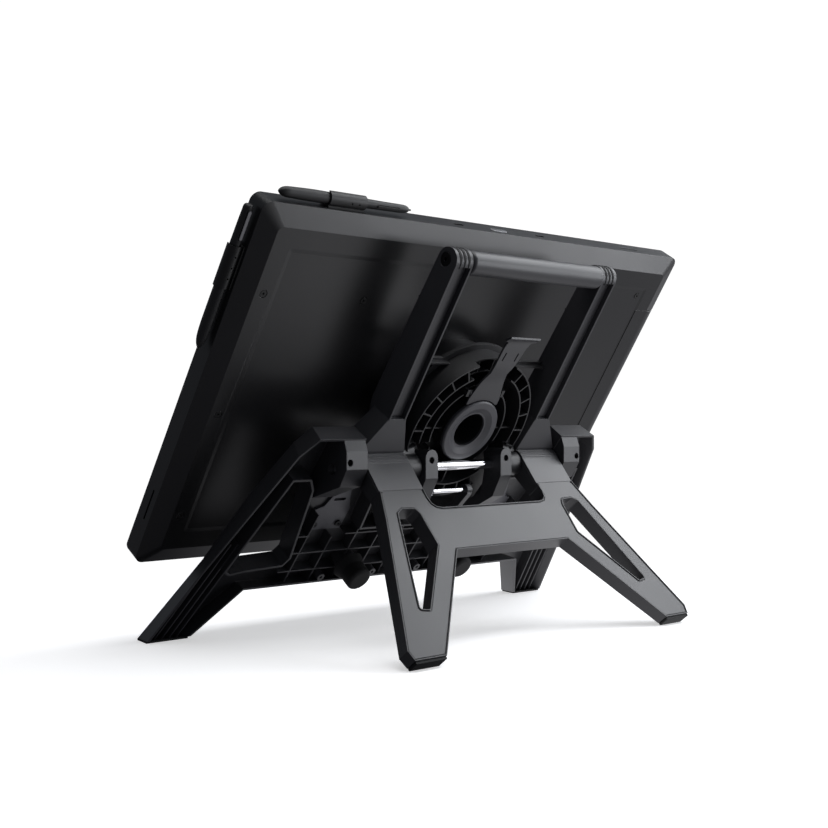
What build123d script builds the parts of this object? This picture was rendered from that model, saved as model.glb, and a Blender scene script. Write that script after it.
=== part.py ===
from build123d import *
from math import cos, radians, sin
import os

# Pen display of the 23.8 inch class on a folding easel stand.
# Millimetres, +Z up, the user sits on the -Y side.
# The origin is on the table, in the mid-plane, under the centre of the stand's footprint.
os.makedirs("parts", exist_ok=True)

# ---- driving dimensions: display ----
TILT = 57.5                 # display angle above the table at rest
DISPLAY_W = 630.0
DISPLAY_H = 403.5
CORNER_R = 10.0
WALL_DEPTH = 21.7           # depth of the straight side wall
BACK_DEPTH = 29.0           # front glass to back face
BEVEL_IN = 20.3             # how far the back bevel steps in
WALL = 2.4
GLASS_T = 1.5
BAY_X = (-315.4, -273.0)    # cable bay under the side cover
BAY_V = (-46.5, 131.8)
BAY_FLOOR = 6.0

# ---- driving dimensions: turntable, arms, stand ----
DRUM_R = 78.0
DRUM_END = 57.5             # depth of the turntable drum's rear face
SPINDLE_R = 27.95
RUNNING = 0.10              # radial clearance of running fits
CARRIER_R = 92.0
CARRIER_DEPTH = (59.8, 64.0)
RING_DEPTH = 92.0           # depth of the bearing ring's visible edges
RING_R = (70.0, 84.5)
ARM_X = (101.1, 124.6)
ARM_BACK = 90.7
ARM_TOP = (188.2, 77.3)     # centre of the arm's round top, height and depth
ARM_TOP_R = 13.4
RIM = 2.2                   # thickness of the arm's side walls
STRIP_R = 7.8               # the strip in the arm's channel, sunk below the rims
HANDLE_R = 12.3
SHAFT_R = 5.3
SHAFT_HALF = 175.0
FRAME_SLOPE = 51.5          # both leg frames above the table
FRONT_T = 22.0
REAR_T = 17.0
SKIN = 2.6
LUG_X = (49.0, 67.0)
BARREL_X = (88.0, 150.0)
BLOCK_X = (152.5, 180.5)
TIE_ROD = (13.8, 150.5)     # Y and Z of the tie rod

t, f = radians(TILT), radians(FRAME_SLOPE)
HEAD_ORIGIN = Vector(0, -49.7, 264.4)       # centre of the glass
SHAFT = Vector(0, 10.8, 177.5)              # hinge axis of arms and rear legs
HEAD = Plane(origin=HEAD_ORIGIN, x_dir=(1, 0, 0), z_dir=(0, -sin(t), cos(t)))
SIDE = Plane(origin=HEAD_ORIGIN, x_dir=(0, cos(t), sin(t)), z_dir=(-1, 0, 0))
CROSS = Plane(origin=HEAD_ORIGIN, x_dir=(1, 0, 0), z_dir=(0, cos(t), sin(t)))
FRONT = Plane(origin=(0, -163.2, 0), x_dir=(1, 0, 0), z_dir=(0, -sin(f), cos(f)))
REAR = Plane(origin=(0, 47.2, 154.9), x_dir=(1, 0, 0), z_dir=(0, sin(f), cos(f)))
YZ = Plane(origin=(0, 0, 0), x_dir=(0, 1, 0), z_dir=(1, 0, 0))
XZ = Plane(origin=(0, 0, 0), x_dir=(1, 0, 0), z_dir=(0, -1, 0))


def depth(w):
    """Plane parallel to the glass, w behind it; local axes are X and height on the display."""
    return HEAD.offset(-w)


def side(x):
    """Plane across the display at X = x; local axes are height and depth. It extrudes towards -X."""
    return SIDE.offset(-x)


def head_axes(point):
    """Height and depth of a point, measured on the display."""
    rel = point - HEAD_ORIGIN
    return rel.Y * cos(t) + rel.Z * sin(t), rel.Y * sin(t) - rel.Z * cos(t)


SHAFT_V, SHAFT_W = head_axes(SHAFT)


def save(piece, label):
    piece.part.label = label
    export_step(piece.part, f"parts/{label}.step")


# =====================================================================================
# display: casing, glass and what lies between
# =====================================================================================
POST_SCREWS = [(285, 113), (285, -20), (285, -140), (161, 114), (161, -114),
               (-161, 114), (-161, -114), (-262, 150), (-262, -62)]
CASE_SCREWS = [*POST_SCREWS, (-285, -140)]      # the last one goes into the casing itself
MOUNT_SCREWS = [(x, v) for x in (-37.5, 37.5) for v in (-37.5, 37.5)]

with BuildPart() as back_shell:
    with BuildSketch(depth(WALL_DEPTH)):
        RectangleRounded(DISPLAY_W, DISPLAY_H, CORNER_R)
    extrude(amount=WALL_DEPTH - GLASS_T)
    with BuildSketch(depth(WALL_DEPTH)):
        RectangleRounded(DISPLAY_W, DISPLAY_H, CORNER_R)
    with BuildSketch(depth(BACK_DEPTH)):
        RectangleRounded(DISPLAY_W - 2 * BEVEL_IN, DISPLAY_H - 2 * BEVEL_IN, 6)
    loft()
    # hollow inside, open at the glass
    with BuildSketch(depth(WALL_DEPTH - 1)):
        RectangleRounded(DISPLAY_W - 2 * WALL, DISPLAY_H - 2 * WALL, CORNER_R - WALL)
    extrude(amount=WALL_DEPTH, mode=Mode.SUBTRACT)
    with BuildSketch(depth(WALL_DEPTH - 1)):
        RectangleRounded(DISPLAY_W - 2 * WALL, DISPLAY_H - 2 * WALL, CORNER_R - WALL)
    with BuildSketch(depth(BACK_DEPTH - WALL)):
        RectangleRounded(DISPLAY_W - 2 * BEVEL_IN - WALL, DISPLAY_H - 2 * BEVEL_IN - WALL, 5)
    loft(mode=Mode.SUBTRACT)
    # shallow field in the back face, inside a flat border
    with BuildSketch(depth(BACK_DEPTH)):
        RectangleRounded(549.4, 322.9, 3)
    with BuildSketch(depth(BACK_DEPTH - 0.6)):
        RectangleRounded(541.0, 314.5, 2)
    loft(mode=Mode.SUBTRACT)
    # cable bay in the -X side, with a floor and an inner wall
    with BuildSketch(CROSS.offset(BAY_V[0])):
        with Locations(((BAY_X[0] + BAY_X[1]) / 2, (BAY_FLOOR + 30) / 2)):
            Rectangle(BAY_X[1] - BAY_X[0] + 1.2, 30 - BAY_FLOOR)
    extrude(amount=BAY_V[1] - BAY_V[0], mode=Mode.SUBTRACT)
    with BuildSketch(CROSS.offset(BAY_V[0] - 1.5)):
        with BuildLine():
            Polyline((-314, 4.4), (-269.5, 4.4), (-269.5, 27.5), (-272, 27.5), (-272, 6), (-314, 6), close=True)
        make_face()
    extrude(amount=BAY_V[1] - BAY_V[0] + 3)
    for v_end in (BAY_V[0] - 1.5, BAY_V[1]):
        with BuildSketch(CROSS.offset(v_end)):
            with BuildLine():
                Polyline((-314, 5), (-270, 5), (-270, 27.5), (-295, 27.5), (-314, 20.5), close=True)
            make_face()
        extrude(amount=1.5)
    # screw seats
    with BuildSketch(depth(BACK_DEPTH + 0.5)):
        with Locations(*CASE_SCREWS):
            Circle(4.2)
    extrude(amount=1.9, mode=Mode.SUBTRACT)
    with BuildSketch(depth(BACK_DEPTH + 0.5)):
        with Locations(*CASE_SCREWS, *MOUNT_SCREWS):
            Circle(2.2)
    extrude(amount=6, mode=Mode.SUBTRACT)
    # openings along the top edge: power button, two ports, long slot; and a slot in the +X edge
    top = CROSS.offset(DISPLAY_H / 2 + 1)
    with BuildSketch(top):
        with Locations((0, 13.5)):
            SlotOverall(25.0, 6.2)
        with Locations((60, 12.5), (-67, 12.5)):
            SlotOverall(14.0, 4.0)
        with Locations((-226, 12.8)):
            SlotOverall(34.0, 2.2)
    extrude(amount=-6, mode=Mode.SUBTRACT)
    with BuildSketch(side(DISPLAY_W / 2 + 1)):
        with Locations((-136, 13.2)):
            SlotOverall(36.0, 2.4)
    extrude(amount=6, mode=Mode.SUBTRACT)
    # rail groove that the pen holders clip into
    with BuildSketch(top):
        with Locations((191, 19.4)):
            Rectangle(196, 1.0)
    extrude(amount=-2, mode=Mode.SUBTRACT)
save(back_shell, "back_shell")

with BuildPart() as cover_glass:
    with BuildSketch(depth(GLASS_T)):
        RectangleRounded(DISPLAY_W - 0.8, DISPLAY_H - 0.8, CORNER_R - 0.4)
    extrude(amount=GLASS_T)
save(cover_glass, "cover_glass")


def flat_piece(w_front, w_back, width, height, x=0.0, v=0.0, radius=1.0):
    """Flat rounded slab inside the display, between two depths."""
    with BuildPart() as piece:
        with BuildSketch(depth(w_back)):
            with Locations((x, v)):
                RectangleRounded(width, height, radius)
        extrude(amount=w_back - w_front)
    return piece


ACTIVE = (527.0, 296.5)     # picture area, 16:9
save(flat_piece(1.5, 3.4, ACTIVE[0] + 8, ACTIVE[1] + 10), "lcd_panel")
save(flat_piece(3.4, 7.6, ACTIVE[0] + 6, ACTIVE[1] + 8), "backlight_unit")
save(flat_piece(7.6, 8.6, ACTIVE[0] + 7, ACTIVE[1] + 14), "digitizer_board")

with BuildPart() as chassis_plate:
    with BuildSketch(depth(10.2)):
        with Locations((22, 0)):
            RectangleRounded(574, 390, 6)
        Circle(18, mode=Mode.SUBTRACT)
    extrude(amount=1.6)
    # posts that take the casing screws and the turntable screws
    with BuildSketch(depth(BACK_DEPTH - WALL)):
        with Locations(*POST_SCREWS):
            Circle(3.8)
        with Locations(*MOUNT_SCREWS):
            Circle(5.0)
    extrude(amount=BACK_DEPTH - WALL - 10.2)
    with BuildSketch(depth(BACK_DEPTH - WALL)):
        with Locations(*CASE_SCREWS, *MOUNT_SCREWS):
            Circle(1.9)
    extrude(amount=13, mode=Mode.SUBTRACT)
save(chassis_plate, "chassis_plate")

with BuildPart() as main_board:
    with BuildSketch(depth(14.0)):
        with Locations((-160, 30)):
            Rectangle(150, 110)
    extrude(amount=1.6)
    with BuildSketch(depth(12.4)):
        with Locations((-225, -15), (-95, -15), (-225, 75), (-95, 75)):
            Circle(3.2)
    extrude(amount=2.2)
    # chips, heat sink and flat-cable sockets
    with BuildSketch(depth(17.5)):
        with Locations((-150, 40)):
            Rectangle(32, 32)
        with Locations((-205, 10), (-205, 35), (-110, 0)):
            Rectangle(14, 9)
        with Locations((-160, 78), (-120, -18)):
            Rectangle(40, 5)
    extrude(amount=3.5)
save(main_board, "main_board")

with BuildPart() as side_connectors:
    for v, length, high in ((100, 15.0, 5.6), (72, 9.4, 3.6), (46, 9.4, 3.6), (10, 16.0, 9.0)):
        with BuildSketch(side(-272.0)):
            with Locations((v, 13.5)):
                RectangleRounded(length + 2, high + 2, 1.2)
        extrude(amount=9)
        with BuildSketch(side(-274.0)):
            with Locations((v, 13.5)):
                RectangleRounded(length, high, 1.0)
        extrude(amount=8, mode=Mode.SUBTRACT)
        with BuildSketch(side(-273.0)):
            with Locations((v, 13.5)):
                Rectangle(length - 3, 1.0)
        extrude(amount=7)
save(side_connectors, "side_connectors")

with BuildPart() as back_screws:
    with BuildSketch(depth(BACK_DEPTH - 0.2)):
        with Locations(*CASE_SCREWS):
            Circle(3.7)
            RegularPolygon(1.4, 6, mode=Mode.SUBTRACT)
    extrude(amount=1.2)
    with BuildSketch(depth(BACK_DEPTH - 1.3)):
        with Locations(*CASE_SCREWS):
            Circle(1.8)
    extrude(amount=9)
save(back_screws, "back_screws")

with BuildPart() as power_button:
    with BuildSketch(CROSS.offset(DISPLAY_H / 2 + 0.5)):
        with Locations((0, 13.5)):
            SlotOverall(24.2, 5.4)
    extrude(amount=-3.6)
    with BuildSketch(CROSS.offset(DISPLAY_H / 2 - 3.1)):
        with Locations((0, 13.5)):
            SlotOverall(26.6, 7.0)
    extrude(amount=-1.2)
save(power_button, "power_button")

# cover over the cable bay: follows the back face, rounds the edge and ends on the side wall
with BuildPart() as port_cover:
    with BuildSketch(CROSS.offset(BAY_V[0] + 0.4)):
        with BuildLine():
            Line((-273.4, 29), (-293, 29))
            ThreePointArc((-293, 29), (-313.4, 22.5), (-322.0, 11))
            Polyline((-322.0, 11), (-322.0, 6.4), (-319.9, 6.4), (-319.9, 11))
            ThreePointArc((-319.9, 11), (-311.9, 20.9), (-293, 26.9))
            Polyline((-293, 26.9), (-273.4, 26.9), (-273.4, 29))
        make_face()
    extrude(amount=BAY_V[1] - BAY_V[0] - 0.8)
    for v_end in (BAY_V[0] + 0.4, BAY_V[1] - 2.4):
        with BuildSketch(CROSS.offset(v_end)):
            with BuildLine():
                Line((-273.4, 28), (-293, 28))
                ThreePointArc((-293, 28), (-312.4, 21.8), (-320.4, 11))
                Polyline((-320.4, 11), (-320.4, 6.6), (-273.4, 6.6), (-273.4, 28))
            make_face()
        extrude(amount=2)
save(port_cover, "port_cover")

# =====================================================================================
# pens and their holders
# =====================================================================================
TOP_PEN_V, TOP_PEN_W = DISPLAY_H / 2 + 7.6, 12.6
SIDE_PEN_X, SIDE_PEN_W = DISPLAY_W / 2 + 7.4, 12.0
TOP_PEN = Plane(origin=HEAD.from_local_coords(Vector(0, TOP_PEN_V, -TOP_PEN_W)), x_dir=(1, 0, 0),
                z_dir=HEAD.z_dir)
SIDE_PEN = Plane(origin=HEAD.from_local_coords(Vector(SIDE_PEN_X, 0, -SIDE_PEN_W)),
                 x_dir=(0, cos(t), sin(t)), z_dir=HEAD.z_dir)


def pen_axis(plane):
    return Axis(plane.origin, plane.x_dir)


with BuildPart() as top_pen_holder:
    # foot on the display's top wall, then the clip around the pen
    with BuildSketch(side(240.0)):
        with Locations((DISPLAY_H / 2 + 1.1, TOP_PEN_W)):
            Rectangle(2.2, 13)
        with Locations((TOP_PEN_V, TOP_PEN_W)):
            Circle(7.4)
            Circle(6.2, mode=Mode.SUBTRACT)
        with Locations((TOP_PEN_V + 6.5, TOP_PEN_W - 5)):
            Rectangle(7, 8, rotation=-40, mode=Mode.SUBTRACT)
    extrude(amount=45)
    with BuildSketch(depth(30)):
        with Locations((204.6, TOP_PEN_V), (214.0, TOP_PEN_V)):
            Circle(0.9)
    extrude(amount=14, mode=Mode.SUBTRACT)
save(top_pen_holder, "top_pen_holder")

with BuildPart() as side_pen_holder:
    with BuildSketch(CROSS.offset(109.5)):
        with Locations((DISPLAY_W / 2 + 1.1, SIDE_PEN_W)):
            Rectangle(2.2, 15)
        with Locations((SIDE_PEN_X, SIDE_PEN_W)):
            Circle(7.2)
            Circle(6.2, mode=Mode.SUBTRACT)
        with Locations((SIDE_PEN_X + 5, SIDE_PEN_W - 6.5)):
            Rectangle(8, 7, rotation=-40, mode=Mode.SUBTRACT)
    extrude(amount=43)
    with BuildSketch(depth(30)):
        with Locations((SIDE_PEN_X, 120), (SIDE_PEN_X, 131), (SIDE_PEN_X, 142)):
            Circle(0.9)
    extrude(amount=14, mode=Mode.SUBTRACT)
save(side_pen_holder, "side_pen_holder")


def pen_body(plane, stations):
    """Turned pen body: (position along the pen, radius) from its back end to the nib seat."""
    back, tip = stations[0], stations[-1]
    with BuildPart() as piece:
        with BuildSketch(plane):
            with BuildLine():
                Spline(*stations)
                Polyline(tip, (tip[0], 0), (back[0], 0), back)
            make_face()
        revolve(axis=pen_axis(plane))
    return piece


# stations from the back end to the nib seat: thin pen on the top edge, thicker one on the +X side
TOP_STATIONS = [(297.0, 0.8), (293.0, 3.8), (283.0, 5.3), (262.0, 5.8), (242.0, 5.7), (215.0, 5.1),
                (185.0, 4.6), (160.0, 4.3), (143.0, 4.1), (138.5, 3.4), (136.0, 1.9)]
SIDE_STATIONS = [(192.0, 3.4), (190.6, 4.4), (187.0, 4.8), (180.0, 4.9), (160.0, 5.1), (140.0, 5.4),
                 (115.0, 5.8), (80.0, 5.9), (60.0, 5.5), (50.0, 4.0), (45.0, 1.9)]
PENS = {
    "top": (TOP_PEN, TOP_STATIONS, 30.0, 165.0, 2.6),
    "side": (SIDE_PEN, SIDE_STATIONS, 30.0, 173.0, 3.4),
}

for name, (plane, stations, switch_length, switch_at, switch_width) in PENS.items():
    body = pen_body(plane, stations)
    nib_at = stations[-1][0]
    with BuildPart() as barrel:
        add(body.part)
        # seat of the side switch, in the side that faces away from the glass
        with BuildSketch(plane.offset(-8)):
            with Locations((switch_at, 0)):
                SlotOverall(switch_length, switch_width + 0.8)
        extrude(amount=4.8, mode=Mode.SUBTRACT)
        # bore for the nib
        nib_seat = plane.from_local_coords(Vector(nib_at, 0, 0))
        with BuildSketch(Plane(origin=nib_seat, z_dir=plane.x_dir)):
            Circle(1.1)
        extrude(amount=7, mode=Mode.SUBTRACT)
    save(barrel, f"{name}_pen_barrel")

    with BuildPart() as nib:
        nib_base = plane.from_local_coords(Vector(nib_at + 6, 0, 0))
        with BuildSketch(Plane(origin=nib_base, z_dir=plane.x_dir)):
            Circle(0.95)
        extrude(amount=-10)
        fillet(nib.faces().sort_by(pen_axis(plane))[0].edges(), 0.6)
    save(nib, f"{name}_pen_nib")

    with BuildPart() as switch:
        with BuildSketch(plane.offset(-5.6)):
            with Locations((switch_at, 0)):
                SlotOverall(switch_length - 0.8, switch_width)
        extrude(amount=1.5)
    save(switch, f"{name}_pen_switch")

# =====================================================================================
# turntable: turns with the display inside the ring carried by the arms
# =====================================================================================
with BuildPart() as turntable_drum:
    with BuildSketch(depth(DRUM_END)):
        Circle(DRUM_R)
    extrude(amount=DRUM_END - (BACK_DEPTH - 0.6))
    # cored out between its outer wall and the hub
    with BuildSketch(depth(DRUM_END - 4)):
        Circle(DRUM_R - 4)
        Circle(SPINDLE_R + 4, mode=Mode.SUBTRACT)
        with Locations(*MOUNT_SCREWS):
            Circle(7, mode=Mode.SUBTRACT)
        Rectangle(2 * DRUM_R, 5, mode=Mode.SUBTRACT)
    extrude(amount=DRUM_END, mode=Mode.SUBTRACT)
    with BuildSketch(depth(88.0)):
        Circle(SPINDLE_R)
        Circle(20.5, mode=Mode.SUBTRACT)
    extrude(amount=88.0 - DRUM_END)
    with BuildSketch(depth(88.0)):
        Circle(20.5)
    extrude(amount=88.0 - 40.0, mode=Mode.SUBTRACT)
    with BuildSketch(depth(DRUM_END)):
        with Locations(*MOUNT_SCREWS):
            Circle(4.4)
    extrude(amount=6, mode=Mode.SUBTRACT)
    with BuildSketch(depth(DRUM_END)):
        with Locations(*MOUNT_SCREWS):
            Circle(2.3)
    extrude(amount=40, mode=Mode.SUBTRACT)
save(turntable_drum, "turntable_drum")

with BuildPart() as turntable_screws:
    with BuildSketch(depth(DRUM_END - 1.5)):
        with Locations(*MOUNT_SCREWS):
            Circle(3.9)
            RegularPolygon(1.7, 6, mode=Mode.SUBTRACT)
    extrude(amount=4.0)
    with BuildSketch(depth(DRUM_END - 5.5)):
        with Locations(*MOUNT_SCREWS):
            Circle(1.85)
    extrude(amount=32)
save(turntable_screws, "turntable_screws")

with BuildPart() as hub_ring:
    with BuildSketch(side(0)):
        with BuildLine():
            # dished cap: high outer flat, cone down to the central hole
            Polyline((20.5, 88), (36.5, 88), (37.5, 89.5), (37.5, 92.5), (36, 94), (29, 94), (22.5, 90.6),
                     (20.5, 90.6), close=True)
        make_face()
    revolve(axis=Axis(HEAD_ORIGIN, HEAD.z_dir))
save(hub_ring, "hub_ring")

with BuildPart() as slide_ring:
    with BuildSketch(depth(CARRIER_DEPTH[0])):
        Circle(DRUM_R - 2)
        Circle(60, mode=Mode.SUBTRACT)
    extrude(amount=2.0)
save(slide_ring, "slide_ring")

# carrier between the arms: plate, ribbed bearing ring, inner ring and boss
RIB_STEP = 15
LEVER_PIN = (46, 87.5)
with BuildPart() as ring_carrier:
    with BuildSketch(depth(CARRIER_DEPTH[1])):
        Circle(CARRIER_R)
        with Locations((0, -10)):
            Rectangle(2 * ARM_X[0], 70)
        with Locations((0, 69)):
            Rectangle(2 * ARM_X[0], 8)
    extrude(amount=CARRIER_DEPTH[1] - CARRIER_DEPTH[0])
    with BuildSketch(depth(70)):
        with Locations((-72, 69), (72, 69)):
            Rectangle(58, 2)
        with Locations((0, 24)):
            Rectangle(2 * ARM_X[0], 2)
    extrude(amount=6)
    with BuildSketch(depth(RING_DEPTH)):
        for radius in reversed(RING_R):
            Circle(radius + 0.8)
            Circle(radius - 0.8, mode=Mode.SUBTRACT)
    extrude(amount=RING_DEPTH - CARRIER_DEPTH[1])
    with BuildSketch(depth(RING_DEPTH)):
        with PolarLocations((RING_R[0] + RING_R[1]) / 2, 360 // RIB_STEP):
            Rectangle(RING_R[1] - RING_R[0], 1.6)
    extrude(amount=RING_DEPTH - CARRIER_DEPTH[1])
    with BuildSketch(depth(86)):
        Circle(SPINDLE_R + 6)
        Rectangle(2 * RING_R[0], 1.8)
        Rectangle(1.8, 2 * RING_R[0])
    extrude(amount=86 - CARRIER_DEPTH[1])
    with BuildSketch(depth(88)):
        Circle(52.8)
        Circle(51.2, mode=Mode.SUBTRACT)
    extrude(amount=88 - CARRIER_DEPTH[1])
    with BuildSketch(depth(RING_DEPTH + 1)):
        Circle(SPINDLE_R + RUNNING - 0.02)
    extrude(amount=RING_DEPTH, mode=Mode.SUBTRACT)
    # room for the lever's foot above the hub
    with BuildSketch(depth(RING_DEPTH + 1)):
        with Locations((0, 62)):
            Rectangle(58, 58)
    extrude(amount=10.5, mode=Mode.SUBTRACT)
    # room for the stand's lugs and struts around the hinge shaft
    for x in (46, -70):
        with BuildSketch(YZ.offset(x)):
            with Locations((SHAFT.Y, SHAFT.Z)):
                Circle(26)
        extrude(amount=24, mode=Mode.SUBTRACT)
    with BuildSketch(depth(RING_DEPTH + 1)):
        with Locations((-75, -80), (75, -80)):
            Rectangle(60, 70)
    extrude(amount=RING_DEPTH, mode=Mode.SUBTRACT)
    # two posts with a cross hole for the lever's pin
    with BuildSketch(depth(90.5)):
        with Locations((-26.7, 46), (26.7, 46)):
            Rectangle(4, 8)
    extrude(amount=90.5 - CARRIER_DEPTH[1])
    with BuildSketch(side(30)):
        with Locations(LEVER_PIN):
            Circle(1.6)
    extrude(amount=60, mode=Mode.SUBTRACT)
    # knuckles on the hinge shaft
    for x in (87.5, -69.3):
        with BuildSketch(side(x)):
            with Locations((SHAFT_V, SHAFT_W)):
                Circle(14)
            with BuildLine():
                Polyline((SHAFT_V - 13, SHAFT_W - 5), (-52, 76), (-40, 61), (-6, 61), (-16, 84),
                         (SHAFT_V + 13, SHAFT_W - 4), close=True)
            make_face()
        extrude(amount=18.2)
    with BuildSketch(side(100)):
        with Locations((SHAFT_V, SHAFT_W)):
            Circle(SHAFT_R + RUNNING)
    extrude(amount=200, mode=Mode.SUBTRACT)
save(ring_carrier, "ring_carrier")

with BuildPart() as release_lever:
    # bent sheet: over the hub, out along the ring, and a turned-up lip
    with BuildSketch(side(26)):
        with BuildLine() as bend:
            Spline((33, 90.6), (48, 90.9), (66, 92.4), (84, 97.0), (104, 99.6), (116, 102.4),
                   (124.5, 109.0))
        trace(bend.line, line_width=2.2)
    extrude(amount=52)
    with BuildSketch(depth(120)):
        with BuildLine():
            half = Polyline((0, 28), (23.5, 28), (23.5, 40), (19, 56), (13, 74), (15.5, 90), (17.5, 116),
                            (23, 118), (23, 130), (0, 130))
            mirror(half, about=Plane.YZ)
        make_face()
        Circle(38.9, mode=Mode.SUBTRACT)
        with Locations((-9.4, 97), (9.4, 97)):
            SlotOverall(11, 1.8, rotation=90, mode=Mode.SUBTRACT)
    extrude(amount=40, mode=Mode.INTERSECT)
    # knuckle between the two posts
    with BuildSketch(side(23.5)):
        with Locations(LEVER_PIN):
            Circle(3.2)
    extrude(amount=47)
    with BuildSketch(side(30)):
        with Locations(LEVER_PIN):
            Circle(1.6)
    extrude(amount=60, mode=Mode.SUBTRACT)
save(release_lever, "release_lever")

with BuildPart() as lever_pin:
    with BuildSketch(side(28.5)):
        with Locations(LEVER_PIN):
            Circle(1.55)
    extrude(amount=57)
save(lever_pin, "lever_pin")

# =====================================================================================
# arms and handle
# =====================================================================================
top_v, top_w = ARM_TOP
BOLT_AT = (top_v, 75)
BOLT_HEAD_R = 6.8
FOOT_X = (88.4, 149.6)
FOOT_R = 16.8               # the foot's hollow runs this far from the hinge axis


def arm_outline(inset):
    """Side view of one arm, shrunk by an inset; the channel is open at the back."""
    r = ARM_TOP_R - inset
    with BuildSketch(mode=Mode.PRIVATE) as outline:
        with BuildLine():
            arc = ThreePointArc((top_v, top_w + r), (top_v + r, top_w), (top_v, top_w - r))
            Polyline(arc @ 1, (21, 56 + inset), (-8, 63 + inset), (-8, top_w + r), arc @ 0)
        make_face()
    return outline.sketch


def on_circle(radius, degrees_up):
    """Height and depth on the display of a point around the hinge axis; 0 points to the back of the table."""
    a = radians(degrees_up)
    return head_axes(SHAFT + Vector(0, radius * cos(a), radius * sin(a)))


with BuildPart() as right_arm:
    with BuildSketch(side(ARM_X[1])):
        add(arm_outline(0))
    extrude(amount=ARM_X[1] - ARM_X[0])
    with BuildSketch(side(ARM_X[1] - RIM)):
        add(arm_outline(RIM))
        with BuildLine():
            Polyline((top_v, 80), (top_v, 95), (6, 95), (6, 80), close=True)
        make_face()
    extrude(amount=ARM_X[1] - ARM_X[0] - 2 * RIM, mode=Mode.SUBTRACT)
    with BuildSketch(side(ARM_X[1] - RIM)):
        with BuildLine():
            Polyline((-20, 78), (6, 78), (6, 62), (-20, 64), close=True)
        make_face()
    extrude(amount=ARM_X[1] - ARM_X[0] - 2 * RIM)
    # cross ribs inside the channel
    for v in (40, 90, 140):
        with BuildSketch(side(ARM_X[1] - 1)):
            with Locations((v, 71)):
                Rectangle(2, 22)
        extrude(amount=ARM_X[1] - ARM_X[0] - 2)
    # flared foot: it widens towards the hinge and is hollowed around it
    with BuildSketch(CROSS.offset(14)):
        with Locations(((ARM_X[0] + ARM_X[1]) / 2, 77.4)):
            Rectangle(ARM_X[1] - ARM_X[0], 26)
    with BuildSketch(CROSS.offset(-22)):
        with Locations(((FOOT_X[0] + FOOT_X[1]) / 2, 79.5)):
            Rectangle(FOOT_X[1] - FOOT_X[0], 30)
    loft()
    with BuildSketch(CROSS.offset(-22)):
        with Locations(((FOOT_X[0] + FOOT_X[1]) / 2, 79.5)):
            Rectangle(FOOT_X[1] - FOOT_X[0], 30)
    extrude(amount=-19.5)
    with BuildSketch(side(FOOT_X[1] + 1)):
        with BuildLine():
            back = on_circle(FOOT_R, 71)
            front = on_circle(FOOT_R, 150)
            Polyline((30, 99), (16, 91.2), back, (-44, 108), (-44, 99), close=True)
        make_face()
        with BuildLine():
            Polyline((-30, 50), (-30, 64.2), (-60, 70), front, (-42, 97), (-80, 97), (-80, 50), close=True)
        make_face()
        with Locations((SHAFT_V, SHAFT_W)):
            Circle(FOOT_R)
    extrude(amount=FOOT_X[1] - FOOT_X[0] + 2, mode=Mode.SUBTRACT)
    # sunk seat for the handle bolt
    with BuildSketch(side(ARM_X[1] + 1)):
        with Locations(BOLT_AT):
            Circle(BOLT_HEAD_R + 0.6)
    extrude(amount=2.0, mode=Mode.SUBTRACT)
    with BuildSketch(side(ARM_X[1] + 1)):
        with Locations(BOLT_AT):
            Circle(2.6)
    extrude(amount=40, mode=Mode.SUBTRACT)
save(right_arm, "right_arm")

STRIP_X = (ARM_X[0] + RIM + 0.2, ARM_X[1] - RIM - 0.2)
with BuildPart() as right_arm_insert:
    with BuildSketch(side(STRIP_X[1])):
        with BuildLine():
            arc = ThreePointArc((top_v, top_w + STRIP_R), (top_v + STRIP_R, top_w), (top_v, top_w - STRIP_R))
            Polyline(arc @ 1, (top_v - 9, top_w - STRIP_R), (top_v - 9, top_w + STRIP_R - 2),
                     (14.3, top_w + STRIP_R - 2), (14.3, top_w + STRIP_R), arc @ 0)
        make_face()
        with Locations(BOLT_AT):
            Circle(2.6, mode=Mode.SUBTRACT)
    extrude(amount=STRIP_X[1] - STRIP_X[0])
    # the strip splits into two tongues over the round top
    middle = (STRIP_X[0] + STRIP_X[1]) / 2
    with BuildSketch(depth(100)):
        for root, reach in ((middle, 3.2), (STRIP_X[0], 2.4), (STRIP_X[1], 2.4)):
            with BuildLine():
                Polyline((root, top_v - 5), (root + reach, top_v + 10), (root - reach, top_v + 10), close=True)
            make_face()
    extrude(amount=60, mode=Mode.SUBTRACT)
save(right_arm_insert, "right_arm_insert")

with BuildPart() as handle_tube:
    with BuildSketch(side(ARM_X[0] - 0.2)):
        with Locations((189.5, 80.5)):
            Circle(HANDLE_R)
    extrude(amount=2 * ARM_X[0] - 0.4)
    across = handle_tube.faces().sort_by(Axis.X)
    fillet(across[0].edges() + across[-1].edges(), 3.5)
    with BuildSketch(side(ARM_X[0] + 1)):
        with Locations(BOLT_AT):
            Circle(2.35)
    extrude(amount=2 * ARM_X[0] + 2, mode=Mode.SUBTRACT)
save(handle_tube, "handle_tube")

with BuildPart() as handle_bolts:
    for outward in (1, -1):
        head_x = outward * (ARM_X[1] - 1.0)
        with BuildSketch(side(head_x)):
            with Locations(BOLT_AT):
                Circle(BOLT_HEAD_R)
        extrude(amount=-outward * 0.9)
        with BuildSketch(side(head_x)):
            with Locations(BOLT_AT):
                Circle(2.2)
        extrude(amount=outward * 44)
        with BuildSketch(side(head_x + outward)):
            with Locations(BOLT_AT):
                RegularPolygon(2.4, 6)
        extrude(amount=outward * 3, mode=Mode.SUBTRACT)
save(handle_bolts, "handle_bolts")


def mirrored(piece, label):
    """The same part on the other side of the mid-plane."""
    with BuildPart() as other:
        add(piece.part)
        mirror(about=Plane.YZ, mode=Mode.REPLACE)
    save(other, label)
    return other


mirrored(right_arm, "left_arm")
mirrored(right_arm_insert, "left_arm_insert")

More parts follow.
